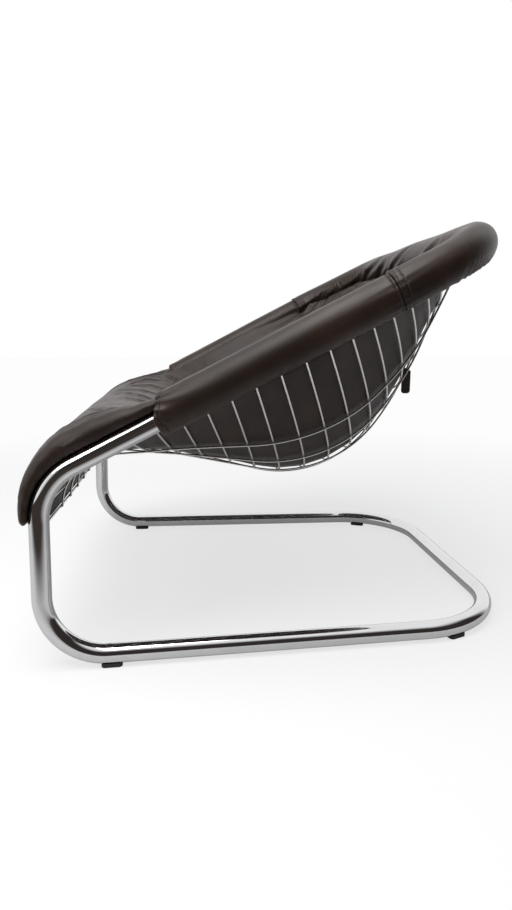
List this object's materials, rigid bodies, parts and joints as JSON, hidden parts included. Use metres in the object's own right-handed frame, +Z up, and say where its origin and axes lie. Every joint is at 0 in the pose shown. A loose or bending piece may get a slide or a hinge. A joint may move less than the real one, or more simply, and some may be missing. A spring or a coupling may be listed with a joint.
{
  "type": "lounge chair",
  "caption": "Cantilever lounge chair: one closed loop of bent chromed tube carries a welded wire basket, upholstered in dark brown leather with padded rails and a padded top.",
  "frame": {"origin": "on the floor under the middle of the chair's outline", "axes": "+Z up, the sitter faces -Y, +X is the sitter's left"},
  "size_m": [0.9042, 0.8678, 0.7237],
  "materials": {
    "tube_chrome": "polished chromium plate",
    "wire_chrome": "polished chromium plate over welded wire",
    "spigot_steel": "turned, bare",
    "foot_rubber": "matt black, moulded",
    "sleeve_leather": "smooth dark brown leather, satin, padded",
    "pad_leather": "smooth dark brown leather, satin, over foam",
    "strap_leather": "dark brown strap leather"
  },
  "bodies": {
    "root": {"base_tube": "tube_chrome", "cross_wire_00": "wire_chrome", "cross_wire_01": "wire_chrome", "cross_wire_02": "wire_chrome", "cross_wire_03": "wire_chrome", "cross_wire_04": "wire_chrome", "cross_wire_05": "wire_chrome", "cross_wire_06": "wire_chrome", "cross_wire_07": "wire_chrome", "cross_wire_08": "wire_chrome", "cross_wire_09": "wire_chrome", "cross_wire_10": "wire_chrome", "cross_wire_11": "wire_chrome", "cross_wire_12": "wire_chrome", "cross_wire_13": "wire_chrome", "cross_wire_14": "wire_chrome", "cross_wire_15": "wire_chrome", "cross_wire_16": "wire_chrome", "cross_wire_17": "wire_chrome", "cross_wire_18": "wire_chrome", "cross_wire_19": "wire_chrome", "cross_wire_20": "wire_chrome", "foot_front_left": "foot_rubber", "foot_front_right": "foot_rubber", "foot_rear_left": "foot_rubber", "foot_rear_right": "foot_rubber", "length_wire_0": "wire_chrome", "length_wire_1": "wire_chrome", "length_wire_2": "wire_chrome", "length_wire_3": "wire_chrome", "length_wire_4": "wire_chrome", "length_wire_5": "wire_chrome", "length_wire_6": "wire_chrome", "length_wire_7": "wire_chrome", "length_wire_8": "wire_chrome", "loop_tube": "tube_chrome", "seat_pad": "pad_leather", "sleeve_left": "sleeve_leather", "sleeve_right": "sleeve_leather", "spigot_left": "spigot_steel", "spigot_right": "spigot_steel", "strap_tab": "strap_leather", "top_hood": "sleeve_leather"}
  },
  "joints": []
}
